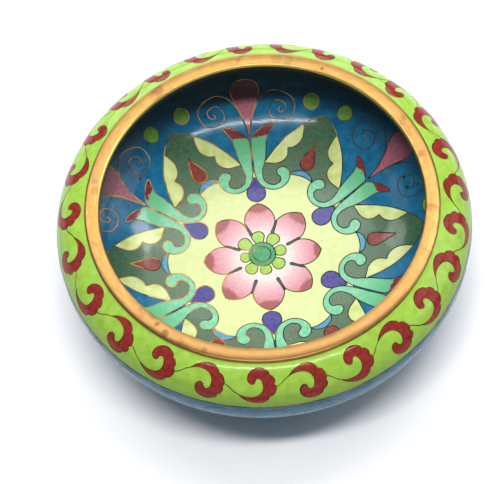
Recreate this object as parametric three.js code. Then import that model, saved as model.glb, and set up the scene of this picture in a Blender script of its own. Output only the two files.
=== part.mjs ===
// A low cloisonne bowl with an in-curving shoulder: an enamelled copper bowl, a gilt rim ring
// soldered round its mouth and a gilt foot ring soldered under it.
// Millimetres, +Z up. The origin is the centre of the foot on the table, and Z is the bowl's axis.

import * as THREE from "three";

// Driving dimensions
const HEIGHT = 34; // table to the top of the rim ring
const BELLY_RADIUS = 51.2; // the widest place, outside
const BELLY_DROP = 9.9; // the widest place, below the top of the rim ring
const WALL = 2.6; // copper with enamel on both sides
const FLOOR_DEPTH = 29.7; // middle of the floor inside, below the top of the rim ring
const FLOOR_THICKNESS = 2.4;

const RIM_OUTER_RADIUS = 43;
const RIM_INNER_RADIUS = 39.4;
const RIM_FLAT_WIDTH = 1.7; // the flat along the middle of the ring's top
const RIM_EDGE_DROP = 0.35; // how far the edges fall below that flat
const RIM_BEND = 0.4; // from each edge to the knee of its bend

const SHOULDER_CENTRE_RADIUS = 39.95; // the shoulder is a quarter ellipse about this circle
const SHOULDER_HEIGHT = 9.44; // that ellipse's height above the widest place
const LIP_RADIUS = 39.6; // inner edge of the wall under the rim ring
const LIP_HEIGHT = 1.75; // the wall's upright edge, from the ring down

const FOOT_OUTER_RADIUS = 28.2;
const FOOT_WIDTH = 1.8;
const FOOT_BEVEL = 0.2; // worn edges of the foot, on the table
const FOOT_SEAT_MARGIN = 0.2; // how far the seat on the bowl runs past the ring, each way

// How square the outside and inside curves are below the widest place: 2 would be an ellipse
const OUTSIDE_POWER = 2.45;
const INSIDE_POWER = 2.3;

const TURN_STEPS = 84; // straight facets round the axis
const LOWER_STEPS = 11; // facets of each lower curve, from the widest place down
const UPPER_STEPS = 6; // facets of each upper curve, from the widest place up
const BASE_STEPS = 6; // facets of the base inside the foot ring, middle to edge

// Heights that follow from them
const BELLY_Z = HEIGHT - BELLY_DROP;
const FLOOR_Z = HEIGHT - FLOOR_DEPTH;
const BASE_Z = FLOOR_Z - FLOOR_THICKNESS;
const INSIDE_RADIUS = BELLY_RADIUS - WALL;

// Height of the shoulder's outside at a radius.
function shoulderZ(radius) {
  const across = (radius - SHOULDER_CENTRE_RADIUS) / (BELLY_RADIUS - SHOULDER_CENTRE_RADIUS);
  return BELLY_Z + SHOULDER_HEIGHT * Math.sqrt(1 - across * across);
}

// Height of a lower curve at a radius: the outside of the belly or the inside of the bowl.
function lowerZ(radius, widest, depth, power) {
  return BELLY_Z - depth * Math.pow(1 - Math.pow(radius / widest, power), 1 / power);
}

const outsideZ = (radius) => lowerZ(radius, BELLY_RADIUS, BELLY_Z - BASE_Z, OUTSIDE_POWER);

const SEAT_Z = shoulderZ(RIM_OUTER_RADIUS); // the rim ring sits here
const FOOT_TOP_Z = outsideZ(FOOT_OUTER_RADIUS + FOOT_SEAT_MARGIN); // the foot ring ends here

// Points of a lower curve from one share of its quarter turn to another. Share 0 is the widest
// place and share 1 the middle.
function lowerCurve(widest, depth, power, fromShare, toShare) {
  const points = [];
  for (let i = 0; i <= LOWER_STEPS; i++) {
    const angle = (fromShare + ((toShare - fromShare) * i) / LOWER_STEPS) * (Math.PI / 2);
    const radius = widest * Math.pow(Math.max(Math.cos(angle), 0), 2 / power);
    const drop = depth * Math.pow(Math.max(Math.sin(angle), 0), 2 / power);
    points.push(new THREE.Vector2(radius, BELLY_Z - drop));
  }
  return points;
}

// The share of a lower curve's quarter turn at which it has a radius.
function shareAt(radius, widest, power) {
  return Math.acos(Math.pow(radius / widest, power / 2)) / (Math.PI / 2);
}

// Points of a quarter ellipse above the widest place, from the widest place up to a radius.
function upperCurve(centreRadius, widest, height, endRadius) {
  const endAngle = Math.acos((endRadius - centreRadius) / (widest - centreRadius));
  const points = [];
  for (let i = 0; i <= UPPER_STEPS; i++) {
    const angle = (endAngle * i) / UPPER_STEPS;
    const radius = centreRadius + (widest - centreRadius) * Math.cos(angle);
    points.push(new THREE.Vector2(radius, BELLY_Z + height * Math.sin(angle)));
  }
  return points;
}

// Turns a profile round the bowl's axis. The profile runs up the outside and back down the
// inside, from axis to axis or closed on itself.
function turned(profile) {
  return new THREE.LatheGeometry(profile, TURN_STEPS).rotateX(Math.PI / 2);
}

// The bowl: spun copper with enamel fused on its inside, outside and base. Its base is domed
// down inside the foot ring, which stands on a narrow flat.
function bowlProfile() {
  const seatOuter = FOOT_OUTER_RADIUS + FOOT_SEAT_MARGIN;
  const seatInner = FOOT_OUTER_RADIUS - FOOT_WIDTH - FOOT_SEAT_MARGIN;
  const base = [];
  for (let i = 0; i <= BASE_STEPS; i++) {
    const radius = (seatInner * i) / BASE_STEPS;
    base.push(new THREE.Vector2(radius, outsideZ(radius)));
  }
  const bellyShare = shareAt(seatOuter, BELLY_RADIUS, OUTSIDE_POWER);
  const belly = lowerCurve(BELLY_RADIUS, BELLY_Z - BASE_Z, OUTSIDE_POWER, bellyShare, 0);
  const shoulder = upperCurve(SHOULDER_CENTRE_RADIUS, BELLY_RADIUS, SHOULDER_HEIGHT, RIM_OUTER_RADIUS);
  const overhang = upperCurve(LIP_RADIUS, INSIDE_RADIUS, SEAT_Z - LIP_HEIGHT - BELLY_Z, LIP_RADIUS);
  const inside = lowerCurve(INSIDE_RADIUS, BELLY_Z - FLOOR_Z, INSIDE_POWER, 0, 1);
  return [
    ...base,
    new THREE.Vector2(seatInner, FOOT_TOP_Z),
    ...belly,
    ...shoulder.slice(1),
    new THREE.Vector2(LIP_RADIUS, SEAT_Z),
    ...overhang.reverse(),
    ...inside.slice(1),
  ];
}

// The rim ring: a flat gilt strip, its top falling to each edge in a soft bend.
function rimRingProfile() {
  const middle = (RIM_OUTER_RADIUS + RIM_INNER_RADIUS) / 2;
  const edgeZ = HEIGHT - RIM_EDGE_DROP;
  const kneeZ = HEIGHT - RIM_EDGE_DROP / 4;
  return [
    [RIM_INNER_RADIUS, SEAT_Z],
    [RIM_OUTER_RADIUS, SEAT_Z],
    [RIM_OUTER_RADIUS, edgeZ],
    [RIM_OUTER_RADIUS - RIM_BEND, kneeZ],
    [middle + RIM_FLAT_WIDTH / 2, HEIGHT],
    [middle - RIM_FLAT_WIDTH / 2, HEIGHT],
    [RIM_INNER_RADIUS + RIM_BEND, kneeZ],
    [RIM_INNER_RADIUS, edgeZ],
    [RIM_INNER_RADIUS, SEAT_Z],
  ].map(([radius, z]) => new THREE.Vector2(radius, z));
}

// The foot ring: a low upright gilt strip, its lower edges a little worn.
function footRingProfile() {
  const inner = FOOT_OUTER_RADIUS - FOOT_WIDTH;
  return [
    [inner + FOOT_BEVEL, 0],
    [FOOT_OUTER_RADIUS - FOOT_BEVEL, 0],
    [FOOT_OUTER_RADIUS, FOOT_BEVEL],
    [FOOT_OUTER_RADIUS, FOOT_TOP_Z],
    [inner, FOOT_TOP_Z],
    [inner, FOOT_BEVEL],
    [inner + FOOT_BEVEL, 0],
  ].map(([radius, z]) => new THREE.Vector2(radius, z));
}

const enamel = new THREE.MeshStandardMaterial({ color: 0x1f6f9c, roughness: 0.2, metalness: 0 });
const gilt = new THREE.MeshStandardMaterial({ color: 0xe0a04a, roughness: 0.35, metalness: 1 });

const part = new THREE.Group();
part.name = "cloisonne_bowl";

const pieces = [
  ["bowl", bowlProfile(), enamel],
  ["rim_ring", rimRingProfile(), gilt],
  ["foot_ring", footRingProfile(), gilt],
];
for (const [name, profile, material] of pieces) {
  const mesh = new THREE.Mesh(turned(profile), material);
  mesh.name = name;
  part.add(mesh);
}

export default part;
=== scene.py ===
import math
import random

import bpy
import numpy as np
from mathutils import Matrix, Vector
from mathutils.geometry import delaunay_2d_cdt
from mathutils.kdtree import KDTree


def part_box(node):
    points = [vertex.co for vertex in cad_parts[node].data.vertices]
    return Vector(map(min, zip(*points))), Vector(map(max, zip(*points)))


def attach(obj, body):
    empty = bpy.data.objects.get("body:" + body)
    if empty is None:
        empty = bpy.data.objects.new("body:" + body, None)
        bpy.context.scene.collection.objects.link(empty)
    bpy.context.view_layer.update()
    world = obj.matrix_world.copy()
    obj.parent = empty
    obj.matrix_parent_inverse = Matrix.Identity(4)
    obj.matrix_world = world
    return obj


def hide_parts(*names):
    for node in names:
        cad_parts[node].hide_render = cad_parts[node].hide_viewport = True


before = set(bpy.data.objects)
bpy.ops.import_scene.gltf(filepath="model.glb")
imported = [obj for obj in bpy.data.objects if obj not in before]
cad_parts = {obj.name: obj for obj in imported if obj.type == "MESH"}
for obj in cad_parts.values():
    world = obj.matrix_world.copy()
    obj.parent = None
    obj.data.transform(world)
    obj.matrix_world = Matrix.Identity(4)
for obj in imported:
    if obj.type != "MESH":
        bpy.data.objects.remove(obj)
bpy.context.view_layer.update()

# The camera, where the photographer stood: over the near side of the bowl, looking down about 61
# degrees and tilted a little. Lengths are shares of the rim ring's radius, angles are degrees.
MM = 0.001
RIM_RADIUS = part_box("rim_ring")[1].x
BOWL_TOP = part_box("rim_ring")[1].z
CAMERA_HEIGHT_ANGLE = 61.2576
CAMERA_TILT = -6.3733
CAMERA_DISTANCE = 8.2137
CAMERA_ASIDE = -0.0636
CAMERA_UP = -0.2437
IMAGE_WIDTH = 500
FOCAL_PIXELS = 1464.55
SENSOR_WIDTH = 36


def placed(name, data):
    made = bpy.data.objects.new(name, data)
    bpy.context.collection.objects.link(made)
    return made


elevation = math.radians(CAMERA_HEIGHT_ANGLE)
tilt = math.radians(CAMERA_TILT)
backward = Vector((0, -math.cos(elevation), math.sin(elevation)))
level_right = Vector((1, 0, 0))
level_up = backward.cross(level_right)
right = level_right * math.cos(tilt) + level_up * math.sin(tilt)
up = level_up * math.cos(tilt) - level_right * math.sin(tilt)
stand = backward * CAMERA_DISTANCE + right * CAMERA_ASIDE + up * CAMERA_UP

camera_data = bpy.data.cameras.new("camera")
camera_data.sensor_width = SENSOR_WIDTH
camera_data.lens = FOCAL_PIXELS / IMAGE_WIDTH * SENSOR_WIDTH
camera_data.clip_start = 0.01
camera = placed("camera", camera_data)
turned = Matrix((right, up, backward)).transposed()
camera.matrix_world = Matrix.Translation(Vector((0, 0, BOWL_TOP)) + stand * RIM_RADIUS) @ turned.to_4x4()
bpy.context.scene.camera = camera
bpy.context.scene.view_settings.view_transform = "Standard"


# The table: plain white card under the bowl, lit until it is white. The bowl's soft shadow falls on
# its near side. It is the stage and no part of the bowl.
FLOOR_SIZE = 3.0
CARD_WHITE = (0.93, 0.93, 0.94, 1)
CARD_ROUGHNESS = 0.8

white_card = bpy.data.materials.new("white_card")
white_card.use_nodes = True
card_shader = white_card.node_tree.nodes["Principled BSDF"]
card_shader.inputs["Base Color"].default_value = CARD_WHITE
card_shader.inputs["Roughness"].default_value = CARD_ROUGHNESS

half = FLOOR_SIZE / 2
floor_corners = [(-half, -half, 0), (half, -half, 0), (half, half, 0), (-half, half, 0)]
floor_mesh = bpy.data.meshes.new("floor")
floor_mesh.from_pydata(floor_corners, [], [(0, 1, 2, 3)])
floor_mesh.materials.append(white_card)
placed("floor", floor_mesh)


# The light: soft boxes that face the bowl. The long one overhead gives most of the light and the
# shadow. It and two on the left only light, without a reflection. Three in front only shine, and
# glint along the far wall. The rest stand behind and at the sides. Sizes are metres, angles degrees.
BOX_DISTANCE = 1.0
WHITE = (1, 1, 1)


def soft_box(name, azimuth, height_angle, wide, tall, watts, colour=WHITE, lights=True, shines=True):
    data = bpy.data.lights.new(name, "AREA")
    data.shape = "RECTANGLE"
    data.size = wide
    data.size_y = tall
    data.energy = watts
    data.color = colour
    box = placed(name, data)
    round_it, over_it = math.radians(azimuth), math.radians(height_angle)
    level = math.cos(over_it)
    place = Vector((math.cos(round_it) * level, math.sin(round_it) * level, math.sin(over_it)))
    box.location = place * BOX_DISTANCE
    box.rotation_euler = place.to_track_quat("Z", "Y").to_euler()
    box.visible_diffuse = lights
    box.visible_glossy = shines


soft_box("overhead", 270, 82.5, 0.65, 0.1, 6.9, shines=False)
soft_box("over_left", 180, 81, 0.3, 0.2, 0.5, shines=False)
soft_box("left_middle", 170, 46, 0.5, 0.3, 0.8, shines=False)
soft_box("front_glint", 270, 75.1, 0.7, 0.02, 1.9, (1.0, 0.97, 0.82), lights=False)
soft_box("front_sheen", 270, 74.5, 0.6, 0.16, 0.8, (1.0, 0.98, 0.88), lights=False)
soft_box("front_wall", 270, 15, 1.4, 0.3, 0.95, lights=False)
soft_box("back_high", 90, 68, 0.7, 0.2, 1.8)
soft_box("back_middle", 90, 55, 0.9, 0.22, 1.3)
soft_box("back_low", 90, 42, 1.1, 0.2, 0.5)
soft_box("back_wall", 90, 20, 1.1, 0.4, 4.0, (0.94, 0.97, 1.0))
soft_box("left_glare", 155, 51, 0.22, 0.16, 0.15)
soft_box("right_middle", 10, 46, 0.5, 0.3, 0.85)
soft_box("right_low", 0, 24, 0.8, 0.35, 1.5)
soft_box("back_left_lamp", 133, 50, 0.16, 0.16, 0.45)
soft_box("back_right_lamp", 40, 57, 0.2, 0.12, 1.1)


# The room: pale walls all round. They look near white, but give the bowl little light, and a
# little more in its gloss.
ROOM_COLOUR = (0.96, 0.98, 1.0, 1)
ROOM_SEEN = 0.95
ROOM_LIGHT = 0.07
ROOM_MIRRORED = 0.2

world = bpy.data.worlds.new("room")
bpy.context.scene.world = world
world.use_nodes = True
room = world.node_tree
ray = room.nodes.new("ShaderNodeLightPath")
seen = room.nodes.new("ShaderNodeMapRange")
seen.inputs["To Min"].default_value = ROOM_LIGHT
seen.inputs["To Max"].default_value = ROOM_SEEN
room.links.new(ray.outputs["Is Camera Ray"], seen.inputs["Value"])
strength = room.nodes.new("ShaderNodeMath")
strength.operation = "MULTIPLY_ADD"
strength.inputs[1].default_value = ROOM_MIRRORED - ROOM_LIGHT
room.links.new(ray.outputs["Is Glossy Ray"], strength.inputs[0])
room.links.new(seen.outputs["Result"], strength.inputs[2])
walls = room.nodes["Background"]
walls.inputs["Color"].default_value = ROOM_COLOUR
room.links.new(strength.outputs["Value"], walls.inputs["Strength"])


# The copper wall: spun sheet, hidden between its two coats of enamel, which are fused on it.
# Its two faces are turned from the same curves as the enamel, one coat deeper. From here on sizes
# are millimetres, as in the drawing of the solids.
BELLY_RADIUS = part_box("bowl")[1].x / MM
RING_RADIUS = RIM_RADIUS / MM
HEIGHT = BOWL_TOP / MM
SEAT_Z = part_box("rim_ring")[0].z / MM
FOOT_TOP_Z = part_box("foot_ring")[1].z / MM
FOOT_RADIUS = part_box("foot_ring")[1].x / MM
BASE_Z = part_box("bowl")[0].z / MM
BELLY_Z = HEIGHT - 9.9  # the widest place
FLOOR_Z = HEIGHT - 29.7  # the middle of the floor, inside
WALL = 2.6
SHOULDER_CENTRE = 39.95  # the shoulder is a quarter ellipse about a circle of this radius
SHOULDER_HEIGHT = 9.44
LIP_RADIUS = 39.6
LIP_HEIGHT = 1.75
OUTSIDE_POWER = 2.45  # how square the curves under the belly are: 2 would be an ellipse
INSIDE_POWER = 2.3
SEAT_MARGIN = 0.2  # the enamel of the belly ends this far outside the foot ring
COAT = 0.85
WIRE_PROUD = 0.03
COPPER_FOOT_MARGIN = 2.4  # the copper's base ends this far inside the foot ring's outer face
COPPER_SEAT_MARGIN = 0.4  # and its shoulder this far short of the rim ring
COPPER_DARK = (160, 97, 63)
COPPER_LIGHT = (221, 153, 111)
GLOSS_IOR = 1.35
RELIEF = 0.02  # the waves and the pits are so many times this deep
SLOW_WAVE = 6.0
FINE_WAVE = 0.12
PIT_DEPTH = 0.6
PIT_DIRT = (38, 30, 28)


class Wall:
    """One face of the wall as a line of radii and heights, and the way along it."""

    def __init__(self, radii, heights):
        radii, heights = np.array(radii), np.array(heights)
        steps = np.hypot(np.diff(radii), np.diff(heights))
        self.along = np.concatenate([[0], np.cumsum(steps)])
        self.radii = radii
        self.heights = heights
        slope_r = np.gradient(radii, self.along)
        slope_z = np.gradient(heights, self.along)
        size = np.hypot(slope_r, slope_z)
        self.normal_r = -slope_z / size
        self.normal_z = slope_r / size
        self.length = self.along[-1]

    def at(self, angle, along, depth=0.0):
        """Points in metres, and their normals, at an angle and a way along, some depth under."""
        normal_r = np.interp(along, self.along, self.normal_r)
        normal_z = np.interp(along, self.along, self.normal_z)
        size = np.hypot(normal_r, normal_z)
        normal_r, normal_z = normal_r / size, normal_z / size
        r = np.interp(along, self.along, self.radii) - depth * normal_r
        z = np.interp(along, self.along, self.heights) - depth * normal_z
        cos, sin = np.cos(angle), np.sin(angle)
        points = np.stack([r * cos, r * sin, z], -1) * MM
        return points, np.stack([normal_r * cos, normal_r * sin, normal_z], -1)


def bowed(widest, depth, power, start, end, count=400):
    """A curve like an ellipse's quarter but squarer, from one share of its turn to another."""
    turn = np.linspace(start, end, count) * math.pi / 2
    return widest * np.cos(turn) ** (2 / power), BELLY_Z - depth * np.sin(turn) ** (2 / power)


def inside_wall():
    lower_r, lower_z = bowed(BELLY_RADIUS - WALL, BELLY_Z - FLOOR_Z, INSIDE_POWER, 1, 0)
    turn = np.linspace(0, math.pi / 2, 200)[1:]
    lip_z = SEAT_Z - LIP_HEIGHT
    upper_r = LIP_RADIUS + (BELLY_RADIUS - WALL - LIP_RADIUS) * np.cos(turn)
    upper_z = BELLY_Z + (lip_z - BELLY_Z) * np.sin(turn)
    radii = np.concatenate([[0], lower_r[1:], upper_r, [LIP_RADIUS]])
    heights = np.concatenate([[FLOOR_Z], lower_z[1:], upper_z, [SEAT_Z]])
    return Wall(radii, heights)


def outside_wall():
    widest = BELLY_RADIUS - WIRE_PROUD
    start = math.acos((RING_RADIUS - SHOULDER_CENTRE) / (widest - SHOULDER_CENTRE))
    turn = np.linspace(start, 0, 300)[:-1]
    shoulder_r = SHOULDER_CENTRE + (widest - SHOULDER_CENTRE) * np.cos(turn)
    shoulder_z = BELLY_Z + SHOULDER_HEIGHT * np.sin(turn)
    at_foot = math.acos(((FOOT_RADIUS + SEAT_MARGIN) / widest) ** (OUTSIDE_POWER / 2))
    lower_r, lower_z = bowed(widest, BELLY_Z - BASE_Z, OUTSIDE_POWER, 0, at_foot / (math.pi / 2))
    return Wall(np.concatenate([shoulder_r, lower_r]), np.concatenate([shoulder_z, lower_z]))


inside = inside_wall()
outside = outside_wall()


def base_line(end, rings):
    """Radii and heights of the base's under face, from the middle out."""
    radii = np.linspace(0, end, rings)
    share = (radii / BELLY_RADIUS) ** OUTSIDE_POWER
    return radii, BELLY_Z - (BELLY_Z - BASE_Z) * (1 - share) ** (1 / OUTSIDE_POWER)


def wall_line(wall, along, depth=0.0):
    """Radii and heights of a wall at some ways along it, some depth under its face."""
    points, _ = wall.at(0.0, along, depth)
    return [(x / MM, z / MM) for x, _, z in points]


def smooth_piece(name, vertices, faces, material):
    mesh = bpy.data.meshes.new(name)
    mesh.from_pydata([tuple(v) for v in vertices], [], [tuple(f) for f in faces])
    mesh.validate()
    mesh.materials.append(material)
    mesh.shade_smooth()
    return placed(name, mesh)


def turned_solid(name, profile, material, steps=256, sharp=40):
    """Turns a closed profile of radii and heights round the bowl's axis. Edges that turn by more
    than the sharp angle, in degrees, stay crisp."""
    angles = np.arange(steps) / steps * 2 * math.pi
    on_axis = [r < 1e-6 for r, _ in profile]
    vertices = []
    rings = []
    for (r, z), middle in zip(profile, on_axis):
        if middle:
            rings.append([len(vertices)] * steps)
            vertices.append((0, 0, z * MM))
            continue
        rings.append(list(range(len(vertices), len(vertices) + steps)))
        vertices.extend(zip(r * np.cos(angles) * MM, r * np.sin(angles) * MM, [z * MM] * steps))
    faces = []
    count = len(profile)
    for i in range(count - 1 if on_axis[0] else count):
        a, b = rings[i], rings[(i + 1) % count]
        for j in range(steps):
            k = (j + 1) % steps
            corners = [a[j], a[k], b[k], b[j]]
            face = [c for n, c in enumerate(corners) if c not in corners[:n]]
            if len(face) > 2:
                faces.append(face)
    made = smooth_piece(name, vertices, faces, material)
    bpy.context.view_layer.objects.active = made
    made.select_set(True)
    bpy.ops.object.shade_smooth_by_angle(angle=math.radians(sharp))
    made.select_set(False)
    return made


def bowl_layer(name, profile, material, steps=256):
    """A turned layer of the fired bowl: its copper, or a coat of enamel."""
    made = turned_solid(name, profile, material, steps)
    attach(made, "root")
    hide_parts("bowl")


def linear(colour):
    """A colour of 0 to 255 a channel, as seen on a screen, as light."""
    shares = [c / 255 for c in colour]
    return [c / 12.92 if c <= 0.04045 else ((c + 0.055) / 1.055) ** 2.4 for c in shares]


class Finish:
    """A polished surface with clouds of a darker and a lighter tone and a gloss that wavers a
    little. What is laid over that is found from the place on the bowl. Sizes are millimetres."""

    def __init__(self, name, dark, light, cloud, roughness, metallic=0.0):
        self.material = bpy.data.materials.new(name)
        self.material.use_nodes = True
        self.tree = self.material.node_tree
        self.shader = self.tree.nodes["Principled BSDF"]
        self.feed(self.shader, {"Roughness": roughness, "Metallic": metallic, "IOR": GLOSS_IOR})
        self.place = self.node("TexCoord", {})["Object"]
        self.pits = None
        self.colour = self.ramp(self.noise(cloud, 4), [(0.3, dark), (0.7, light)])

    def feed(self, node, inputs):
        """Sets a node's inputs, or links them where another node's output is given."""
        for name, value in inputs.items():
            if isinstance(value, bpy.types.NodeSocket):
                self.tree.links.new(value, node.inputs[name])
            else:
                node.inputs[name].default_value = value

    def node(self, kind, inputs, **settings):
        """The outputs of a new node."""
        node = self.tree.nodes.new("ShaderNode" + kind)
        for name, value in settings.items():
            setattr(node, name, value)
        self.feed(node, inputs)
        return node.outputs

    def math(self, operation, a, b=0.0):
        return self.node("Math", {0: a, 1: b}, operation=operation)["Value"]

    def times(self, a, b):
        return self.math("MULTIPLY", a, b)

    def plus(self, a, b):
        return self.math("ADD", a, b)

    def attribute(self, name):
        return self.node("Attribute", {}, attribute_name=name)["Fac"]

    def split_place(self):
        """The place on the bowl, in metres, as three numbers."""
        split = self.node("SeparateXYZ", {"Vector": self.place})
        return split["X"], split["Y"], split["Z"]

    def noise(self, size, detail=2, place=None):
        """Noise from 0 to 1 whose patches are about this size."""
        inputs = {"Vector": place or self.place, "Scale": 1 / (size * MM), "Detail": detail}
        return self.node("TexNoise", inputs)["Fac"]

    def wander(self, size, detail, amount):
        """Noise that wanders by half the amount to either side of 0."""
        return self.times(self.math("SUBTRACT", self.noise(size, detail), 0.5), amount)

    def mask(self, factor, low, high):
        """0 below low and 1 above high, or the other way round if low is above high."""
        return self.node("MapRange", {"Value": factor, "From Min": low, "From Max": high})["Result"]

    def ramp(self, factor, stops):
        ramp = self.tree.nodes.new("ShaderNodeValToRGB")
        elements = ramp.color_ramp.elements
        while len(elements) < len(stops):
            elements.new(0.5)
        for element, (position, colour) in zip(elements, stops):
            element.position = position
            element.color = (*linear(colour), 1)
        self.feed(ramp, {"Fac": factor})
        return ramp.outputs["Color"]

    def mix(self, factor, below, above):
        if isinstance(above, tuple):
            above = (*linear(above), 1)
        inputs = {"Factor": factor, "A": below, "B": above}
        return self.node("Mix", inputs, data_type="RGBA")["Result"]

    def tint(self, cover, colour, strength=1.0):
        """Lays a colour over the others where the cover is 1, at this strength."""
        if strength < 1:
            cover = self.times(cover, strength)
        self.colour = self.mix(cover, self.colour, colour)

    def spots(self, spacing, size, share):
        """Round spots of this size, in a share of the cells of a net of this spacing."""
        cells = self.node("TexVoronoi", {"Vector": self.place, "Scale": 1 / (spacing * MM)})
        chance = self.node("SeparateColor", {"Color": cells["Color"]})["Red"]
        chosen = self.mask(chance, share + 0.01, share - 0.01)
        edge = size / 2 / spacing
        return self.times(chosen, self.mask(cells["Distance"], edge * 1.15, edge * 0.7))

    def speck(self, place, size, colour, strength=1.0, core=0.42):
        """A mark of this size at a place in metres, with an uneven edge. It is even within its
        core, which is a share of its size."""
        away = self.node("VectorMath", {0: self.place, 1: place}, operation="DISTANCE")["Value"]
        reach = self.plus(away, self.wander(size * 0.6, 2, size * 0.5 * MM))
        self.tint(self.mask(reach, size * 0.6 * MM, size * core * MM), colour, strength)

    def done(self):
        """The finished material: its surface waves slowly and finely, and its pits hold dirt."""
        slow = self.times(self.noise(9, 1), SLOW_WAVE)
        fine = self.times(self.noise(0.5, 2), FINE_WAVE)
        height = self.plus(slow, fine)
        if self.pits is not None:
            height = self.math("SUBTRACT", height, self.times(self.pits, PIT_DEPTH))
            self.tint(self.pits, PIT_DIRT)
        bump = self.node("Bump", {"Height": height, "Distance": RELIEF * MM, "Strength": 1.0})
        self.feed(self.shader, {"Base Color": self.colour, "Normal": bump["Normal"]})
        return self.material


base = [(r, z + COAT) for r, z in zip(*base_line(FOOT_RADIUS - COPPER_FOOT_MARGIN, 10))]
belly = wall_line(outside, np.linspace(COPPER_SEAT_MARGIN, outside.length, 40), COAT)
seat = [(RING_RADIUS - COAT, SEAT_Z), (LIP_RADIUS + COAT, SEAT_Z)]
floor = wall_line(inside, np.linspace(0, inside.length - LIP_HEIGHT - COAT, 46), COAT)
floor[0] = (0, floor[0][1])
copper_profile = base + belly[::-1] + seat + floor[::-1]
copper = Finish("copper", COPPER_DARK, COPPER_LIGHT, cloud=4.5, roughness=0.45, metallic=1.0)
bowl_layer("copper_wall", copper_profile, copper.done(), steps=128)


# The inlay's drawing. The inside is laid out flat: a point is a complex number in millimetres,
# its size the way along the wall from the middle and its direction the direction round the bowl.
# Each cell is ringed by a flat wire bent to its outline and soldered on edge before the enamel.
# Cells are laid from the front to the back, and each fills what those before it leave open.
DRAWING_TURN = math.radians(0.41)
DRAWING_SHIFT = -0.66  # the maker set the lotus a little to the left of the bowl's middle
WIRE_STEP = 0.3
ROW_RISE = 0.866  # the height of a triangle whose sides are 1
hand = random.Random(7)
laid = []
inside_wires = []


def as_complex(points):
    return [complex(*p) if isinstance(p, tuple) else p for p in points]


def bend(points, corners=(), closed=True):
    """Bends a wire smoothly through the points, with a sharp turn at each corner."""
    p = as_complex(points)
    n = len(p)
    line = []
    for i in range(n if closed else n - 1):
        a, b = p[i], p[(i + 1) % n]
        starts_sharp = i in corners or (not closed and i == 0)
        ends_sharp = (i + 1) % n in corners or (not closed and i == n - 2)
        before = 2 * a - b if starts_sharp else p[i - 1]
        after = 2 * b - a if ends_sharp else p[(i + 2) % n]
        pieces = max(1, round(abs(b - a) / WIRE_STEP))
        for k in range(pieces):
            t = k / pieces
            straight = 0.5 * (b - before) * t
            bowed_in = 0.5 * (2 * before - 5 * a + 4 * b - after) * t * t
            bowed_out = 0.5 * (3 * a - before - 3 * b + after) * t**3
            line.append(a + straight + bowed_in + bowed_out)
    if not closed:
        line.append(p[-1])
    return np.array(line)


def mirrored(line):
    return -np.conj(line)[::-1]


def symmetric(half):
    """A whole outline from its right half, which starts and may end on the upright axis."""
    points = as_complex(half)
    return points + [-z.conjugate() for z in points[::-1] if abs(z.real) > 1e-9]


def swung(line, degrees):
    return np.asarray(line) * np.exp(1j * math.radians(degrees))


def ring(centre, radius, step=WIRE_STEP):
    count = max(12, round(2 * math.pi * radius / step))
    return centre + radius * np.exp(2j * math.pi * np.arange(count) / count)


def within(points, outline):
    """Which points are inside an outline."""
    x, y = points.real, points.imag
    found = np.zeros(len(points), bool)
    box = (x > outline.real.min()) & (x < outline.real.max())
    box &= (y > outline.imag.min()) & (y < outline.imag.max())
    if not box.any():
        return found
    px, py = x[box], y[box]
    inside_it = np.zeros(len(px), bool)
    for start, end in zip(outline, np.roll(outline, -1)):
        crosses = (start.imag > py) != (end.imag > py)
        if crosses.any():
            side = end - start
            at = start.real + (py[crosses] - start.imag) * side.real / side.imag
            inside_it[np.flatnonzero(crosses)[px[crosses] < at]] ^= True
    found[box] = inside_it
    return found


def within_any(points, outlines):
    found = np.zeros(len(points), bool)
    for outline in outlines:
        found |= within(points, outline)
    return found


def seen_runs(line, closed):
    """The stretches of a wire of the inside that no cell laid before hides."""
    hidden = within_any(line, laid)
    if not hidden.any():
        return [(line, closed)]
    if hidden.all():
        return []
    if closed:
        first = np.flatnonzero(hidden)[0]
        line = np.roll(line, -first)
        hidden = np.roll(hidden, -first)
    runs = []
    run = []
    for i, point in enumerate(line):
        if hidden[i]:
            if len(run) > 1:
                runs.append((np.array(run + [point]), False))
            run = [point]
        else:
            run.append(point)
    if len(run) > 1:
        if closed:
            run.append(line[0])
        runs.append((np.array(run), False))
    return runs


def filled(outlines, over, spacing, low, high):
    """Triangles that fill the outlines and stop at the cells that lie over them. Between low and
    high, points are strewn in rows of this spacing."""
    points = []
    edges = []
    for line in [*outlines, *over]:
        base = len(points)
        points.extend(line)
        count = len(line)
        edges.extend((base + i, base + (i + 1) % count) for i in range(count))
    tree = KDTree(len(points))
    for i, z in enumerate(points):
        tree.insert((z.real, z.imag, 0), i)
    tree.balance()
    rows = int((high.imag - low.imag) / (spacing * ROW_RISE)) + 1
    columns = int((high.real - low.real) / spacing) + 1
    across, upward = np.meshgrid(np.arange(columns), np.arange(rows))
    x = low.real + spacing * (across + 0.5 * (upward % 2))
    y = low.imag + spacing * ROW_RISE * upward
    strewn = (x + 1j * y).ravel()
    for z in strewn[within_any(strewn, outlines) & ~within_any(strewn, over)]:
        if tree.find((z.real, z.imag, 0))[2] > spacing * 0.4:
            points.append(z)
    flat = [Vector((z.real, z.imag)) for z in points]
    made, _, triangles, _, _, _ = delaunay_2d_cdt(flat, edges, [], 0, 1e-5, False)
    made = np.array([complex(v.x, v.y) for v in made])
    triangles = np.array(triangles)
    middle = made[triangles].mean(1)
    triangles = triangles[within_any(middle, outlines) & ~within_any(middle, over)]
    used, triangles = np.unique(triangles, return_inverse=True)
    return made[used], triangles.reshape(-1, 3)


def inside_place(flat):
    """The angle round the bowl and the way along the wall of a point of the flat drawing."""
    moved = flat * np.exp(1j * DRAWING_TURN) + DRAWING_SHIFT
    return np.angle(moved), np.minimum(np.abs(moved), inside.length)


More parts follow.
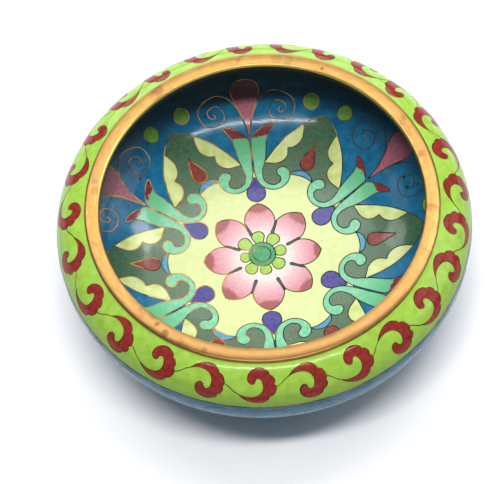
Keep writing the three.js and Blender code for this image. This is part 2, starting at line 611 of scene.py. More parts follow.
def slab(name, flat, triangles, place, wall, material, marks):
    """A closed slab of enamel: the triangles on the wall's face, and again one coat under it.
    marks gives each mark's name and its value at every point, for the material to use."""
    angle, along = place(flat)
    top, normals = wall.at(angle, along)
    under, _ = wall.at(angle, along, COAT)
    count = len(flat)
    corners = top[triangles]
    facing = np.cross(corners[:, 1] - corners[:, 0], corners[:, 2] - corners[:, 0])
    flip = (facing * normals[triangles[:, 0]]).sum(1) < 0
    triangles = triangles.copy()
    triangles[flip] = triangles[flip][:, ::-1]
    sides = {edge: True for a, b, c in triangles for edge in ((a, b), (b, c), (c, a))}
    border = [edge for edge in sides if edge[::-1] not in sides]
    faces = [tuple(t) for t in triangles]
    faces += [(c + count, b + count, a + count) for a, b, c in triangles]
    faces += [(b, a, a + count, b + count) for a, b in border]
    vertices = np.concatenate([top, under])
    mesh = bpy.data.meshes.new(name)
    mesh.from_pydata(vertices.tolist(), [], faces)
    mesh.materials.append(material)
    mesh.shade_smooth()
    corner_vertices = np.zeros(len(mesh.loops), int)
    mesh.loops.foreach_get("vertex_index", corner_vertices)
    corner_normals = np.zeros((len(mesh.loops), 3))
    on_faces = len(triangles) * 6
    both = np.concatenate([normals, -normals])
    corner_normals[:on_faces] = both[corner_vertices[:on_faces]]
    side_normals = [face.normal for face in mesh.polygons[len(triangles) * 2 :]]
    corner_normals[on_faces:] = np.repeat(side_normals, 4, axis=0)
    mesh.normals_split_custom_set(corner_normals.tolist())
    for mark, values in marks.items():
        layer = mesh.attributes.new(mark, "FLOAT", "POINT")
        layer.data.foreach_set("value", np.tile(values, 2).astype(np.float32))
    made = placed(name, mesh)
    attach(made, "root")
    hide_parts("bowl")


def reach_of(lines):
    """The lowest and the highest corner of the box round some lines."""
    points = np.concatenate(lines)
    low = complex(points.real.min(), points.imag.min())
    return low, complex(points.real.max(), points.imag.max())


def lay(name, outlines, enamel, marks=None, spacing=1.1, wired=True):
    """Fills cells of the inside with one enamel and rings them with wire, where no cell laid
    before is over them. marks gives each mark's name and how it follows from the drawing."""
    low, high = reach_of(outlines)
    near = []
    for outline in laid:
        start, end = reach_of([outline])
        beside = end.real <= low.real or start.real >= high.real
        if not (beside or end.imag <= low.imag or start.imag >= high.imag):
            near.append(outline)
    flat, triangles = filled(outlines, near, spacing, low, high)
    values = {mark: value(flat) for mark, value in (marks or {}).items()}
    slab(name, flat, triangles, inside_place, inside, enamel.done(), values)
    if wired:
        for outline in outlines:
            inside_wires.extend(seen_runs(outline, True))
    laid.extend(outlines)


# Enamel: opaque glass, melted into the cells in layers, ground flush and polished. Bubbles have left
# small pits in it, which hold dirt. High on the inside wall and under the overhang it is painted
# dark as painted shade, and made rougher.
FINE_PITS = (1.6, 0.24, 0.17)  # their spacing, their size and their share of the places for them
COARSE_PITS = (6.0, 0.42, 0.1)
# the colour of the painted shade high on the inside wall and under the overhang
PAINTED_SHADE = (10, 18, 20)
PAINTED_SHADE_ROUGHNESS = 0.6


class Enamel(Finish):
    def __init__(self, name, dark, light, cloud=1.0, pits=1.0):
        super().__init__(name, dark, light, cloud, roughness=0.1)
        fine, coarse = [self.spots(*sizes, share * pits) for *sizes, share in (FINE_PITS, COARSE_PITS)]
        self.pits = self.math("MAXIMUM", fine, coarse)

    def paint_overhang_shade(self, share):
        """Painted shade over this share of the colour half way up the inside wall, and over nearly all
        of it under the overhang, where the rim shades the wall. The enamel is made rougher there too."""
        height = self.plus(self.split_place()[2], self.wander(5, 3, 4 * MM))
        half_way = self.times(self.mask(height, 12.0 * MM, 17.5 * MM), share)
        overhung = self.times(self.mask(height, 17.0 * MM, 23.0 * MM), 0.92)
        cover = self.math("MAXIMUM", half_way, overhung)
        # Painted shade: the wall under the rim's overhang is darkened as if in its shadow.
        self.tint(cover, PAINTED_SHADE)
        gloss = self.shader.inputs["Roughness"].default_value
        dull = self.node("MapRange", {"Value": cover, "To Min": gloss, "To Max": PAINTED_SHADE_ROUGHNESS})
        self.feed(self.shader, {"Roughness": dull["Result"]})


# The lotus on the floor of the bowl: a green eye with a thin copper ring in it, eight lime lobes
# round it, and eight petals. The petals' white enamel runs to pink, and their tips are brown red.
# Between the petals are narrow grey green slits. No two lobes or slits are quite alike.
EYE = complex(-0.4, 0.8)
EYE_RADIUS = 3.5
EYE_RING_RADIUS = 2.25
LOBE = [(0, 6.7), (1.15, 6.35), (1.65, 5.45), (1.45, 4.5), (0.85, 3.3)]
LOBE_TURN = 6
LOBE_SIZES = [0.94, 1.02, 1.0, 1.06, 0.86, 0.98, 0.9, 1.0]
SLIT = [(0, 11.0), (0.2, 10.2), (0.24, 9.0), (0.3, 7.8), (0.38, 7.15), (0.22, 6.8), (0, 6.7)]
PETALS = 8
PETAL = [
    (0, 15.7), (1.7, 14.85), (3.15, 13.3), (3.9, 11.4), (3.9, 9.7), (3.4, 8.25), (2.74, 6.6), (1.6, 3.9),
]
PETAL_WIRE_END = 7  # the wire stops at the lobe, before the petal's last point
PETAL_SHOULDER = 9  # only what is farther out than this is longer or shorter
SHORT_PETAL = 6

eye_enamel = Enamel("eye_green", (64, 144, 96), (84, 166, 116))
lay("lotus_eye", [ring(EYE, EYE_RADIUS)], eye_enamel, spacing=0.9)
inside_wires.append((ring(EYE, EYE_RING_RADIUS), True))

lobes = []
for k in range(PETALS):
    lobe = bend(symmetric(LOBE), corners=(4, 5))
    lobes.append(EYE + swung(lobe * LOBE_SIZES[k], 45 * k - 90 + LOBE_TURN))
lime_enamel = Enamel("lotus_lime", (152, 192, 76), (176, 212, 100), cloud=0.8)
lay("lotus_lobes", lobes, lime_enamel, spacing=0.9)

slits = []
for k in range(PETALS):
    slit = bend(symmetric(SLIT), corners=(0,))
    slits.append(swung(slit - 1j * hand.uniform(-0.4, 0.6), 45 * k + 22.5 + hand.uniform(-1.5, 1.5)))
slit_teal = Enamel("slit_teal", (46, 84, 82), (84, 120, 118), cloud=0.5)
lay("petal_slits", slits, slit_teal, spacing=0.8)

petals = []
for k in range(PETALS):
    grown = 0.95 if k == SHORT_PETAL else hand.uniform(0.98, 1.01)
    side = [z * grown if z.imag >= PETAL_SHOULDER else z for z in as_complex(PETAL)]
    petals.append(swung(bend(symmetric(side), corners=(0, 6, 7, 8, 9)), 45 * k))
    wired = side[:PETAL_WIRE_END]
    over_the_tip = [-z.conjugate() for z in wired[:0:-1]] + wired
    wire = bend(over_the_tip, corners=(6,), closed=False)
    inside_wires.extend(seen_runs(swung(wire, 45 * k), False))

pink = Enamel("petal_pink", (250, 240, 236), (255, 250, 246), cloud=1.5)
blush = pink.plus(pink.attribute("outward"), pink.wander(0.9, 3, 3.5))
blush = pink.plus(blush, pink.wander(0.28, 2, 1.6))
tones = [(0.0, (240, 230, 218)), (0.3, (238, 212, 206)), (0.55, (228, 182, 188)), (1.0, (210, 138, 148))]
pink.colour = pink.ramp(pink.mask(blush, 4.8, 13.3), tones)
past_tip = pink.plus(pink.attribute("tip"), pink.wander(0.9, 3, 1.1))
pink.tint(pink.mask(past_tip, -0.45, 0.35), (162, 92, 88))


def beside_axis(flat, axes):
    """Points turned back to the nearest of some axes round the middle, which is then upright."""
    slice_angle = 2 * math.pi / axes
    turn = np.mod(np.angle(flat) - math.pi / 2 + slice_angle / 2, slice_angle) - slice_angle / 2
    return np.abs(flat) * np.exp(1j * (turn + math.pi / 2))


def tip(flat):
    """How far a point is past the edge of its petal's brown tip, which bows inward."""
    local = beside_axis(flat, PETALS)
    return local.imag - 13.0 - 0.1 * local.real**2


lay("lotus_petals", petals, pink, {"outward": np.abs, "tip": tip}, spacing=0.8, wired=False)


# The scrolls: twelve mint ones in pairs, back to back, their heads curled round the lotus. Each
# is one cell; the enamel changes along it, greener up the stem and dark red in the split tail.
AXES = 6
TAIL_ROOT = 33
TAIL_RED_STARTS = 34.5
SHORTER_TAILS = {1: 0.8, 5: 0.78}
SCROLL = [
    (0.2, 33.2), (0.18, 30), (0.18, 26.5), (0.3, 24.2), (0.85, 22.1), (1.8, 20.5), (3.3, 19.55),
    (5.0, 19.15), (6.9, 19.5), (8.5, 20.6), (9.4, 22.2), (9.4, 23.8), (8.6, 25.0), (7.5, 25.3),
    (6.5, 24.9), (6.1, 24.0), (6.4, 23.1), (6.95, 22.4), (6.7, 21.3), (5.6, 20.6), (4.2, 20.7),
    (2.9, 21.6), (2.35, 23.1), (2.4, 24.8), (3.0, 26.5), (3.6, 28.4), (4.0, 30.4), (4.3, 32.4),
    (4.8, 34.2), (5.8, 35.8), (6.9, 37.2), (6.7, 37.75), (5.4, 37.6), (3.7, 36.9), (2.1, 35.9), (0.8, 34.6),
]
SCROLL_CORNERS = (16,)

scrolls = []
for k in range(AXES):
    tail = SHORTER_TAILS.get(k, 1.0)
    drawn = [(x, TAIL_ROOT + (y - TAIL_ROOT) * tail) if y >= TAIL_ROOT else (x, y) for x, y in SCROLL]
    right_scroll = bend(drawn, corners=SCROLL_CORNERS)
    scrolls += [swung(right_scroll, 60 * k), swung(mirrored(right_scroll), 60 * k)]


def up_the_flower(flat):
    return beside_axis(flat, AXES).imag


mint = Enamel("mint_enamel", (116, 194, 150), (145, 212, 172), cloud=1.2)
greener = mint.plus(mint.attribute("upward"), mint.wander(1.6, 3, 5.0))
mint.tint(mint.mask(greener, 25.0, 33.0), (102, 187, 136))
tail_red = mint.ramp(mint.noise(0.7, 3), [(0.3, (104, 38, 46)), (0.7, (146, 60, 66))])
jagged = mint.plus(mint.attribute("upward"), mint.wander(0.9, 3, 2.2))
mint.tint(mint.mask(jagged, TAIL_RED_STARTS - 0.25, TAIL_RED_STARTS + 0.1), tail_red)
lay("mint_scrolls", scrolls, mint, {"upward": up_the_flower})


# The stems' knots: beads of solder between the stems of a pair, where their wires meet. Each is a
# ring of wire so small that it closes to a bead. It is given by its flower and its way up the stem.
KNOTS = [(0, 30.4), (0, 27.6), (1, 28.8), (1, 32.6), (5, 29.4), (5, 26.8), (2, 29.0), (4, 29.5)]
KNOT_RADIUS = 0.22
KNOT_STEP = 0.12

for k, up_the_stem in KNOTS:
    inside_wires.append((swung(ring(1j * up_the_stem, KNOT_RADIUS, KNOT_STEP), 60 * k), True))


# The buds: a violet drop between the heads of each pair of scrolls, its point to the rim.
# It is one cell of wire, filled with enamel like the rest.
BUD = [(0, 23.3), (0.9, 21.9), (1.9, 20.5), (2.5, 18.8), (1.9, 17.0), (0, 16.2)]


def at_flowers(outline):
    return [swung(outline, 60 * k) for k in range(AXES)]


violet = Enamel("violet_enamel", (66, 62, 130), (86, 80, 154))
lay("violet_buds", at_flowers(bend(symmetric(BUD), corners=(0,))), violet, spacing=0.9)


# The flowers: a plum trumpet over each pair of scrolls, opening to the rim. Its enamel is more
# pitted than the rest, and darkened with painted shade where it runs up the wall.
FLOWER = [
    (0, 34.2), (0.35, 36.2), (0.78, 38.2), (1.35, 40.2), (2.0, 42.0), (2.75, 43.6), (3.55, 45.2),
    (3.95, 47.2), (3.5, 48.9), (2, 49.9), (0, 50.3),
]

plum = Enamel("plum_enamel", (157, 90, 109), (185, 115, 133), cloud=0.7, pits=3.0)
# Painted shade on the flowers high on the wall and under the overhang.
plum.paint_overhang_shade(0.6)
lay("plum_flowers", at_flowers(bend(symmetric(FLOWER), corners=(0,))), plum)


# The leaves: between the flowers, a dark green leaf with two curled feet. In it are a brick red
# drop and, down both sides, a cream border; a blue crescent closes it below. The green is paler
# and grained with rust towards the feet.
TEAR = [(0, 34.8), (0.7, 32.8), (1.5, 30.6), (1.9, 28.9), (1.35, 27.5), (0, 26.95)]
CRESCENT = [
    (3.3, 24.3), (2.2, 25.8), (0, 26.6), (-2.2, 25.8), (-3.3, 24.3), (-1.9, 24.8), (0, 25.05),
    (1.9, 24.8),
]
BORDER = [
    (4.9, 38.75), (6.8, 36.2), (8.4, 33.4), (9.6, 30.3), (10.4, 27.3), (10.9, 24.9), (9.3, 25.5),
    (7.6, 26.2), (6.3, 27.5), (5.9, 29.3), (6.6, 31.2), (5.4, 31.8), (4.3, 33.2), (3.9, 35.0),
    (4.3, 37.0),
]
BORDER_CORNERS = (0, 5, 10)
LEAF = [
    (0, 42.6), (1.6, 41.7), (3.4, 40.3), (5.0, 38.6), (6.8, 36.2), (8.4, 33.4), (9.6, 30.3),
    (10.4, 27.3), (11.3, 24.6), (11.0, 22), (9.4, 20.2), (7.5, 19.5), (5.6, 19.7), (4.4, 20.9),
    (3.8, 22.6), (3.4, 24.2), (2.6, 25.2), (0, 25.6),
]
LEAF_TURN = 30


def at_leaves(outline):
    return [swung(outline, LEAF_TURN + 60 * k) for k in range(AXES)]


brick = Enamel("brick_enamel", (120, 52, 49), (151, 77, 67))
lay("leaf_drops", at_leaves(bend(symmetric(TEAR), corners=(0,))), brick, spacing=0.9)
sky = Enamel("sky_enamel", (72, 144, 182), (106, 174, 204))
lay("leaf_crescents", at_leaves(bend(CRESCENT, corners=(0, 4))), sky, spacing=0.9)
border = bend(BORDER, corners=BORDER_CORNERS)
cream = Enamel("cream_enamel", (190, 206, 120), (224, 234, 166), cloud=3.5)
lay("leaf_borders", at_leaves(border) + at_leaves(mirrored(border)), cream)


def up_the_leaf(flat):
    return beside_axis(swung(flat, LEAF_TURN), AXES).imag


leaf = Enamel("leaf_green", (44, 90, 66), (66, 116, 86))
pale = leaf.mask(leaf.plus(leaf.attribute("upward"), leaf.wander(2.2, 3, 9.0)), 38.0, 22.0)
leaf.tint(pale, (98, 134, 108))
leaf.tint(leaf.mask(leaf.noise(0.34, 3), 0.54, 0.64), (44, 112, 72), 0.6)
rusty = leaf.mask(leaf.noise(0.42, 3), 0.5, 0.66)
leaf.tint(leaf.times(rusty, leaf.mask(pale, -0.9, 0.9)), (128, 84, 78))
lay("green_leaves", at_leaves(bend(symmetric(LEAF), corners=(0,))), leaf, {"upward": up_the_leaf})


# The dots: two round moss green cells over the point of each leaf, ringed with wire.
DOT_PLACE = complex(5.05, 45.0)
DOT_RADIUS = 2.15

dots = []
for place in (DOT_PLACE, -DOT_PLACE.conjugate()):
    dots += at_leaves(ring(place, DOT_RADIUS))
moss = Enamel("moss_enamel", (108, 160, 66), (134, 185, 92))
lay("moss_dots", dots, moss, spacing=0.9)


# The field: pale yellow green enamel round the lotus, out to a wire ring behind the scrolls.
FIELD_RADIUS = 25.0

field = Enamel("field_enamel", (212, 223, 152), (221, 231, 167), cloud=1.6)
lay("lotus_field", [ring(0, FIELD_RADIUS)], field)


# The ground: speckled blue enamel behind everything, up the wall and under the overhang to the
# rim ring, with two long wire spirals beside each flower. It is chipped dark in a few places, red
# has run into it once, and one patch of it on the left is pale along fine scratches: scratched
# wear, with a painted sheen. High on the wall and under the overhang it carries painted shade.
SPIRAL = [
    (-0.15, 34.4), (-0.5, 36.6), (-0.95, 38.6), (-1.6, 40.6), (-2.45, 42.4), (-3.7, 44.2), (-5.6, 45.8),
    (-8.7, 46.3), (-12, 44.6), (-13.5, 42.1), (-12.3, 39.1), (-9.8, 38.05), (-7, 39.1), (-6.2, 41),
    (-7.3, 43.1), (-9.0, 43.5), (-10.8, 42.3), (-10.5, 40.9), (-9.3, 40.2), (-8.7, 40.9), (-9.3, 41.6),
]
# Each chip is a flower's direction in degrees, a place in that flower's drawing, a size and a colour.
CHIPS = [
    (150, (6.0, 38.7), 1.0, (112, 34, 48)),
    (30, (9.7, 40.4), 0.9, (22, 26, 30)),
    (30, (6.9, 41.6), 0.7, (26, 30, 34)),
    (30, (11.4, 43.0), 0.6, (24, 28, 30)),
    (150, (-2.6, 38.0), 0.6, (24, 30, 36)),
    (90, (2.6, 36.6), 0.5, (24, 28, 32)),
    (90, (-11.6, 41.0), 0.5, (24, 28, 32)),
]
RUBBED_FLOWER = 150
RUBBED_PLACE = (-7.0, 43.6)
RUBBED_SIZE = 11.0
PALE_SCRATCHES_AND_SHEEN = (126, 166, 186)
SCRATCH_SQUEEZE = (1.0, 0.22, 0.22)  # of the pattern's space, so the scratches run front to back
GROUND_SPACING = 1.3
GROUND_EDGE_STEP = 0.9

spiral = bend(SPIRAL, closed=False)
for k in range(AXES):
    for line in (spiral, mirrored(spiral)):
        inside_wires.extend(seen_runs(swung(line, 60 * k), False))


def drawn_place(angle, place):
    """Where a place in the drawing of the flower at an angle is on the wall."""
    flat = np.array([complex(*place) * np.exp(1j * math.radians(angle - 90))])
    points, _ = inside.at(*inside_place(flat))
    return tuple(points[0])


def speckled_blue(name, dark, light):
    blue = Enamel(name, dark, light, cloud=2.6, pits=1.2)
    blue.tint(blue.mask(blue.noise(0.35, 2), 0.56, 0.72), (74, 132, 164), 0.35)
    blue.tint(blue.mask(blue.noise(0.5, 2), 0.42, 0.3), (14, 54, 92), 0.45)
    return blue


ground = speckled_blue("ground_blue", (14, 96, 136), (36, 122, 162))
for angle, place, size, colour in CHIPS:
    ground.speck(drawn_place(angle, place), size, colour)
squeezed = ground.node("VectorMath", {0: ground.place, 1: SCRATCH_SQUEEZE}, operation="MULTIPLY")
scratches = ground.mask(ground.noise(0.3, 3, squeezed["Vector"]), 0.42, 0.62)
unrubbed = ground.colour
# Painted sheen: a pale patch on the left, laid only along the scratches, which are real wear.
ground.speck(drawn_place(RUBBED_FLOWER, RUBBED_PLACE), RUBBED_SIZE, PALE_SCRATCHES_AND_SHEEN, 0.6, 0.1)
ground.colour = ground.mix(scratches, unrubbed, ground.colour)
# Painted shade high on the wall and under the overhang.
ground.paint_overhang_shade(0.7)

ground_edge = inside.length - LIP_HEIGHT - 0.02
ground_centre = -DRAWING_SHIFT * np.exp(-1j * DRAWING_TURN)
ground_outline = ring(ground_centre, ground_edge, GROUND_EDGE_STEP)
lay("blue_ground", [ground_outline], ground, spacing=GROUND_SPACING, wired=False)
lip_low = SEAT_Z - LIP_HEIGHT
lip_back = LIP_RADIUS + COAT
lip_profile = [(LIP_RADIUS, lip_low), (LIP_RADIUS, SEAT_Z), (lip_back, SEAT_Z), (lip_back, lip_low)]
bowl_layer("blue_ground_lip", lip_profile, ground.material)


# The wires of the inside: flat copper wire set on edge round every cell, gilt where it shows. It
# was ground down with the enamel, and stands only a hair above it. It is painted gold, in patches,
# on the left and up the far wall, and dark green on the right, on the near side and round the lotus:
# partly tarnish, and partly painted shade where the wires mirror no light.
WIRE_WIDTH = 0.27
WIRE_DEPTH = 0.3
WIRE_EDGE = -0.4 * WIRE_PROUD
# A wire's section: shares of its width across, and depths under the enamel's face.
SECTION = [(-0.5, WIRE_DEPTH), (-0.5, WIRE_EDGE), (0, -WIRE_PROUD), (0.5, WIRE_EDGE), (0.5, WIRE_DEPTH)]


def wire_strips(name, lines, place, wall, material, width):
    """One mesh of closed strips, each with a crowned top, along lines of the flat drawing."""
    vertices = []
    faces = []
    sides = len(SECTION)
    for line, closed in lines:
        line = np.asarray(line)
        ahead = np.roll(line, -1) - np.roll(line, 1)
        # A line round the whole bowl is closed too, but its ends are far apart in the drawing.
        if not closed or abs(ahead[0]) > 10 * abs(ahead[1]):
            ahead[0] = line[1] - line[0]
            ahead[-1] = line[-1] - line[-2]
        aside = 1j * ahead / np.maximum(np.abs(ahead), 1e-9)
        rows = []
        for across, depth in SECTION:
            angle, along = place(line - aside * across * width)
            rows.append(wall.at(angle, along, depth)[0])
        base = len(vertices)
        vertices.extend(np.stack(rows, 1).reshape(-1, 3).tolist())
        count = len(line)
        for i in range(count if closed else count - 1):
            a, b = base + i * sides, base + (i + 1) % count * sides
            for j in range(sides):
                k = (j + 1) % sides
                faces.append((a + j, a + k, b + k, b + j))
        if not closed:
            faces.append(tuple(base + j for j in reversed(range(sides))))
            faces.append(tuple(base + (count - 1) * sides + j for j in range(sides)))
    made = smooth_piece(name, vertices, faces, material)
    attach(made, "root")
    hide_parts("bowl")


def gilt_copper(name, bright, dull, dark, roughness, darkened, metallic=1.0):
    """Gilt copper: two tones in clouds, with a share of it darkened."""
    metal = Finish(name, dull, bright, 1.5, roughness, metallic)
    gone = 0.3 * darkened
    metal.tint(metal.mask(metal.noise(5, 3), 0.62 - gone, 0.78 - gone), dark)
    return metal


metal = gilt_copper("wire_gilt", (236, 186, 104), (204, 148, 74), (70, 72, 60), 0.4, 0.5, 0.5)
x, y, z = metal.split_place()
patchy = metal.wander(4, 3, 50 * MM)
across = metal.plus(x, patchy)
climb = metal.plus(z, metal.times(patchy, 0.3))
# Where the wires are painted gold and where dark green: partly tarnish, partly painted shade and
# reflection.
right_of_left = metal.mask(across, -14 * MM, 0.0)
far_right = metal.mask(across, 16 * MM, 26 * MM)
up_the_wall = metal.mask(climb, 7.5 * MM, 10.5 * MM)
far_wall = metal.times(up_the_wall, metal.mask(y, 0.0, 20 * MM))
tarnish_and_shade = metal.times(right_of_left, metal.math("SUBTRACT", 1.0, far_wall))
tarnish_and_shade = metal.math("MAXIMUM", tarnish_and_shade, metal.times(far_right, 0.9))
metal.tint(tarnish_and_shade, (44, 52, 40))
wire_strips("inside_wires", inside_wires, inside_place, inside, metal.done(), WIRE_WIDTH)


# The shoulder band: lime enamel with maroon scrolls on a thin dark vine, curling down and up in
# turn, twenty six of them. A wire ring closes it below. The flat drawing of the outside has the
# way round at the belly's rough radius across, and the way down from the rim ring upright.
DRAWN_RADIUS = 48.0
BAND_DEPTH = 11.15
BAND_MIDDLE = 5.3
BAND_SCROLLS = 26
FIRST_SCROLL = 191.2  # degrees round the bowl
LATEST_SCROLL = 7  # the scrolls are unevenly spaced, and this one is the latest
MOST_LATE = 3.6
BAND_SCROLL = [
    (-5.0, 3.3), (-3.66, 2.14), (-2.05, 1.35), (-0.43, 1.07), (0.9, 1.35), (1.9, 2.2), (2.05, 2.76),
    (3.07, 3.3), (3.66, 4.44), (3.7, 5.4), (3.3, 5.8), (3.55, 6.8), (2.9, 7.8), (2.4, 7.9),
    (2.0, 8.8), (0.65, 9.5), (-0.7, 9.55), (-2.05, 8.9), (-2.8, 7.8), (-2.75, 6.5), (-1.9, 5.8),
    (-1.24, 6.07), (-0.97, 6.8), (-0.3, 7.2), (0.43, 6.7), (0.8, 5.4), (0.54, 4.1), (-0.43, 3.1),
    (-2.05, 2.65), (-3.66, 2.76),
]
BAND_SCROLL_CORNERS = (0, 6, 10, 13)
# Where the vine leaves a scroll and meets the next one, if the first curls down and if it curls up
VINE_LEAVES = {True: complex(3.6, 5.0), False: complex(3.6, 5.6)}
VINE_MEETS = {True: complex(-4.9, 7.3), False: complex(-4.9, 3.3)}
VINE_BOW = 0.12
SEAM_ASIDE = 6.3
EDGE_STEPS = 300
END_STEPS = 12
outside_wires = []


def outside_place(flat):
    return flat.real / DRAWN_RADIUS, np.minimum(flat.imag, outside.length)


def scroll_place(k):
    late = MOST_LATE * math.cos(2 * math.pi * (k - LATEST_SCROLL) / BAND_SCROLLS)
    return math.radians(FIRST_SCROLL + 360 / BAND_SCROLLS * k + late) * DRAWN_RADIUS


down_scroll = bend(BAND_SCROLL, corners=BAND_SCROLL_CORNERS)
up_scroll = np.conj(down_scroll)[::-1] + 2j * BAND_MIDDLE
band_scrolls = []
for k in range(BAND_SCROLLS):
    curls_down = k % 2 == 0
    band_scrolls.append((down_scroll if curls_down else up_scroll) + scroll_place(k))
    start = scroll_place(k) + VINE_LEAVES[curls_down]
    end = scroll_place(k + 1) + VINE_MEETS[curls_down]
    lean = end - start
    bow = 1j * VINE_BOW * (1 if curls_down else -1)
    vine = bend([start, start + lean * 0.35 - bow, start + lean * 0.7 + bow, end], closed=False)
    outside_wires.append((vine, False))
outside_wires += [(outline, True) for outline in band_scrolls]

maroon = Enamel("maroon_enamel", (120, 34, 32), (151, 52, 47))
maroon.shader.inputs["Specular IOR Level"].default_value = 0.35
scrolls_low, scrolls_high = reach_of(band_scrolls)
scrolls_low, scrolls_high = complex(scrolls_low.real, 0), complex(scrolls_high.real, BAND_DEPTH)
flat, triangles = filled(band_scrolls, [], 1.0, scrolls_low, scrolls_high)
slab("maroon_scrolls", flat, triangles, outside_place, outside, maroon.done(), {})

# The lime is drawn as one long strip, from a seam between two scrolls to the same seam again. The
# points of its two ends are then joined.
seam = scroll_place(0) - SEAM_ASIDE
around = 2 * math.pi * DRAWN_RADIUS
top_edge = seam + around * np.arange(EDGE_STEPS) / EDGE_STEPS
bottom_edge = (top_edge + around / EDGE_STEPS)[::-1] + 1j * BAND_DEPTH
end_edge = 1j * np.linspace(0, BAND_DEPTH, END_STEPS)
strip = np.concatenate([top_edge, seam + around + end_edge[:-1], bottom_edge, seam + end_edge[:0:-1]])
flat, triangles = filled([strip], band_scrolls, 1.2, complex(seam, 0), complex(seam + around, BAND_DEPTH))
first_end = np.flatnonzero(flat.real < seam + 1e-3)
joined = np.arange(len(flat))
for i in np.flatnonzero(flat.real > seam + around - 1e-3):
    joined[i] = first_end[np.argmin(np.abs(flat[first_end].imag - flat[i].imag))]
used, triangles = np.unique(joined[triangles], return_inverse=True)
flat, triangles = flat[used], triangles.reshape(-1, 3)

lime = Enamel("band_lime", (143, 183, 64), (160, 202, 82), cloud=2.2)
# Painted shade: the lime is painted darker towards the band's lower edge, which turns away from the light
# overhead.
lime.tint(lime.mask(lime.attribute("down"), 6.0, BAND_DEPTH), (102, 144, 40), 0.65)
slab("lime_band", flat, triangles, outside_place, outside, lime.done(), {"down": flat.imag})


# The belly: plain blue enamel under the band, down to the foot ring, with a row of faint wire
# lappets round it. The base inside the foot ring is enamelled in the same blue. The wires out
# here are thinner than the inside's, and dark brown: partly tarnish, partly painted shade, as they
# catch little light.
LAPPETS = 27
LAPPET = [
    (0, 12.6), (2.3, 13.1), (3.8, 14.8), (4.3, 17.6), (4.1, 21.2), (3.3, 25.0), (2.0, 28.2), (0, 30.6),
]
OUTSIDE_WIRE_WIDTH = 0.22
BASE_MARGIN = 2.0  # the base's enamel ends this far inside the foot ring's outer face

belly_blue = speckled_blue("belly_blue", (20, 88, 122), (44, 118, 150))
belly_blue.shader.inputs["Specular IOR Level"].default_value = 0.3
down = np.linspace(BAND_DEPTH, outside.length, 64)
belly_profile = wall_line(outside, down) + wall_line(outside, down[::-1], COAT)
bowl_layer("belly_enamel", belly_profile, belly_blue.done())
base_face = list(zip(*base_line(FOOT_RADIUS - BASE_MARGIN, 24)))
base_profile = base_face + [(r, z + COAT) for r, z in reversed(base_face)]
bowl_layer("base_enamel", base_profile, belly_blue.material)

lappet = bend(symmetric(LAPPET), corners=(0, 7))
for k in range(LAPPETS):
    outside_wires.append((lappet + around * k / LAPPETS, True))
# The outside wires' dark brown is partly tarnish, partly painted shade.
brown_wire = gilt_copper("outside_wire_gilt", (150, 110, 60), (110, 78, 44), (60, 42, 30), 0.4, 0.6)
dark_wire_finish = brown_wire.done()
wire_strips("outside_wires", outside_wires, outside_place, outside, dark_wire_finish, OUTSIDE_WIRE_WIDTH)


# The band's closing wire: a ring of its own between the lime and the blue, wider than the others.
# It is bent from the same flat wire and painted the same dark brown, partly as painted shade.
CLOSING_WIDTH = 0.4
CLOSING_STEPS = 900

closing_wire = seam + around * np.arange(CLOSING_STEPS) / CLOSING_STEPS + 1j * BAND_DEPTH
wire_strips("band_closing_wire", [(closing_wire, True)], outside_place, outside, dark_wire_finish, CLOSING_WIDTH)


# The rim ring: a flat gilt strip soldered on the bowl's mouth, its edges softly bent down. It is
# brushed, worn and pitted, with a solder patch and stains. Its outer edge is brown, tarnish with
# painted shade where it meets the band. Its near side is painted duller as painted shade, and its
# far inner edge is painted pale as a painted highlight.
RING_INNER = 39.4
RING_FLAT = 1.7
RING_DROP = 0.35
RING_BEND = 0.4
RING_STEPS = 360
BRUSH_SQUEEZE = 0.06  # of the way round in the pattern's space, so the streaks run round the ring
# Each stain is a direction in degrees, a radius, a size, a colour and a strength.
STAINS = [
    (79, 41.2, 2.8, (142, 110, 70), 0.5),
    (74.5, 41.0, 2.4, (136, 106, 70), 0.55),
    (71, 41.3, 1.6, (150, 118, 74), 0.4),
    (165.75, 41.2, 1.8, (128, 118, 96), 0.6),
    (62, 40.6, 1.0, (112, 74, 44), 0.7),
    (232, 41.6, 1.8, (104, 66, 44), 0.6),
    (228, 40.8, 1.2, (96, 62, 44), 0.6),
    (246, 41.9, 1.4, (112, 74, 48), 0.5),
]


def strip_profile(inner, outer, edge):
    """The section of a ring whose two edges are alike: points as a way in from an edge and up."""
    return [(inner + a, z) for a, z in edge] + [(outer - a, z) for a, z in edge[::-1]]


ring_edge = [
    (0, SEAT_Z),
    (0, HEIGHT - RING_DROP),
    (RING_BEND * 0.35, HEIGHT - RING_DROP / 2),
    (RING_BEND, HEIGHT - RING_DROP / 4),
    ((RING_RADIUS - RING_INNER - RING_FLAT) / 2, HEIGHT),
]
ring_profile = strip_profile(RING_INNER, RING_RADIUS, ring_edge)

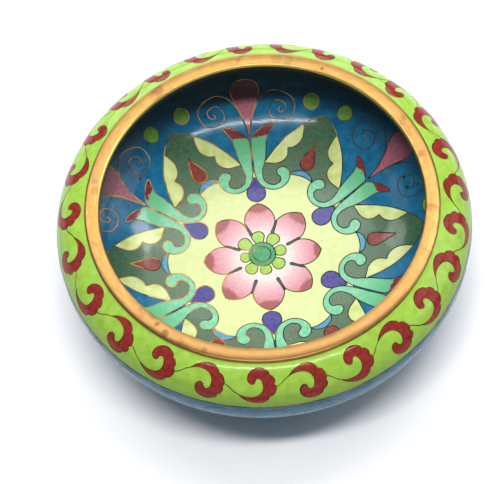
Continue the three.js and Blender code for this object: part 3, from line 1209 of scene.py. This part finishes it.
gilt = gilt_copper("rim_gilt", (184, 143, 82), (172, 130, 73), (132, 92, 54), 0.32, 0.1)
x, y, _ = gilt.split_place()
radius = gilt.math("SQRT", gilt.plus(gilt.times(x, x), gilt.times(y, y)))
way_round = gilt.times(gilt.math("ARCTAN2", y, x), RIM_RADIUS * BRUSH_SQUEEZE)
brushed = gilt.noise(0.22, 3, gilt.node("CombineXYZ", {"X": way_round, "Y": radius})["Vector"])
gilt.tint(gilt.mask(brushed, 0.55, 0.75), (206, 170, 104))
gilt.tint(gilt.mask(brushed, 0.45, 0.25), (160, 118, 62))
# Brown along the outer edge: tarnish, with painted shade where the ring meets the band.
outward = gilt.plus(radius, gilt.wander(2, 3, 0.5 * MM))
outer_edge = gilt.mask(outward, (RING_RADIUS - 0.35) * MM, (RING_RADIUS - 0.1) * MM)
gilt.tint(outer_edge, (122, 78, 42), 0.7)
# Painted shade: the near side of the ring is painted duller.
gilt.tint(gilt.mask(y, -8 * MM, -45 * MM), (156, 118, 76), 0.65)
# Painted highlight: the far inner edge is painted pale yellow, a glint of the light in front.
inner_edge = gilt.mask(radius, (RING_INNER + 0.5) * MM, (RING_INNER + 0.35) * MM)
far_side = gilt.mask(y, 0.0, 20 * MM)
gilt.tint(gilt.times(inner_edge, far_side), (252, 222, 132), 0.65)
for angle, out, size, colour, strength in STAINS:
    a = math.radians(angle)
    gilt.speck((out * math.cos(a) * MM, out * math.sin(a) * MM, BOWL_TOP), size, colour, strength)
gilt.tint(gilt.spots(1.1, 0.2, 0.1), (110, 76, 44), 0.7)

rim = turned_solid("gilt_rim_ring", ring_profile, gilt.done(), RING_STEPS, sharp=60)
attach(rim, "root")
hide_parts("rim_ring")


# The foot ring: an upright gilt strip soldered under the bowl, its lower edges worn round where
# it stands on the table.
FOOT_WIDTH = 1.8
FOOT_WORN = 0.2
FOOT_CORNER = 0.06

foot_edge = [(0, FOOT_TOP_Z), (0, FOOT_WORN), (FOOT_CORNER, FOOT_CORNER), (FOOT_WORN, 0)]
foot_profile = strip_profile(FOOT_RADIUS - FOOT_WIDTH, FOOT_RADIUS, foot_edge)
foot_gilt = gilt_copper("foot_gilt", (206, 160, 92), (180, 134, 74), (134, 98, 60), 0.35, 0.3)
foot = turned_solid("gilt_foot_ring", foot_profile, foot_gilt.done())
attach(foot, "root")
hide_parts("foot_ring")
